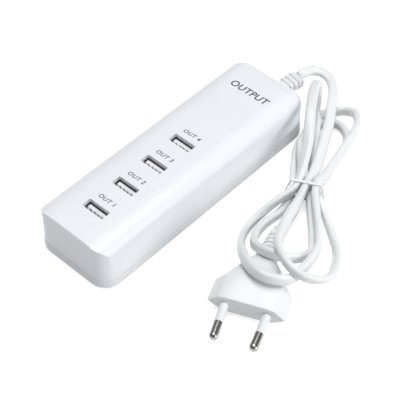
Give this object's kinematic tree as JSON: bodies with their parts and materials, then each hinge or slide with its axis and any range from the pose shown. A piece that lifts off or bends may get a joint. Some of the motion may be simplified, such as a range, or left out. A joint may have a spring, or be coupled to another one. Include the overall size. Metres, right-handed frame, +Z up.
{
  "type": "usb power strip",
  "caption": "Low white box with a row of upright USB sockets in its top, a mains cord in a tied hank and a flat two-pin plug.",
  "frame": {"origin": "middle of the housing's footprint, on the floor the feet stand on", "axes": "+X along the housing towards the end the cord leaves, +Y across it away from the tied cord, +Z up"},
  "size_m": [0.1698, 0.115, 0.0255],
  "materials": {
    "housing": "satin, very fine grain",
    "base": "satin",
    "board": "satin",
    "ferrite": "matte",
    "tape": "satin",
    "black_can": "gloss",
    "blue_can": "gloss",
    "fuse_body": "matte",
    "copper": "gloss",
    "black_resin": "matte",
    "yellow_block": "satin",
    "chip_resin": "matte",
    "white_block": "matte",
    "wire": "satin",
    "screw_steel": "plain",
    "feet": "matte",
    "relief": "soft, slightly shiny",
    "cord": "soft, slightly shiny",
    "tie": "matte",
    "plug": "satin",
    "sleeve": "satin",
    "pin": "nickel plated",
    "shell": "tin plated",
    "tongue": "satin",
    "contact": "plated"
  },
  "bodies": {
    "root": {"top_cover": "housing", "base_cover": "base", "circuit_board": "board", "transformer_core": "ferrite", "transformer_coil": "tape", "mains_capacitor": "black_can", "output_capacitors": "blue_can", "fuse": "fuse_body", "choke": "copper", "bridge_rectifier": "black_resin", "suppression_capacitor": "yellow_block", "controller_chip": "chip_resin", "optocoupler": "white_block", "mains_wires": "wire", "case_screws": "screw_steel", "rubber_feet": "feet", "strain_relief": "relief", "power_cord": "cord", "cord_tie": "tie", "plug_body": "plug", "pin_sleeve_1": "sleeve", "pin_sleeve_2": "sleeve", "plug_pin_1": "pin", "plug_pin_2": "pin", "usb_shell_1": "shell", "usb_tongue_1": "tongue", "usb_contacts_1": "contact", "usb_shell_2": "shell", "usb_tongue_2": "tongue", "usb_contacts_2": "contact", "usb_shell_3": "shell", "usb_tongue_3": "tongue", "usb_contacts_3": "contact", "usb_shell_4": "shell", "usb_tongue_4": "tongue", "usb_contacts_4": "contact"}
  },
  "joints": []
}
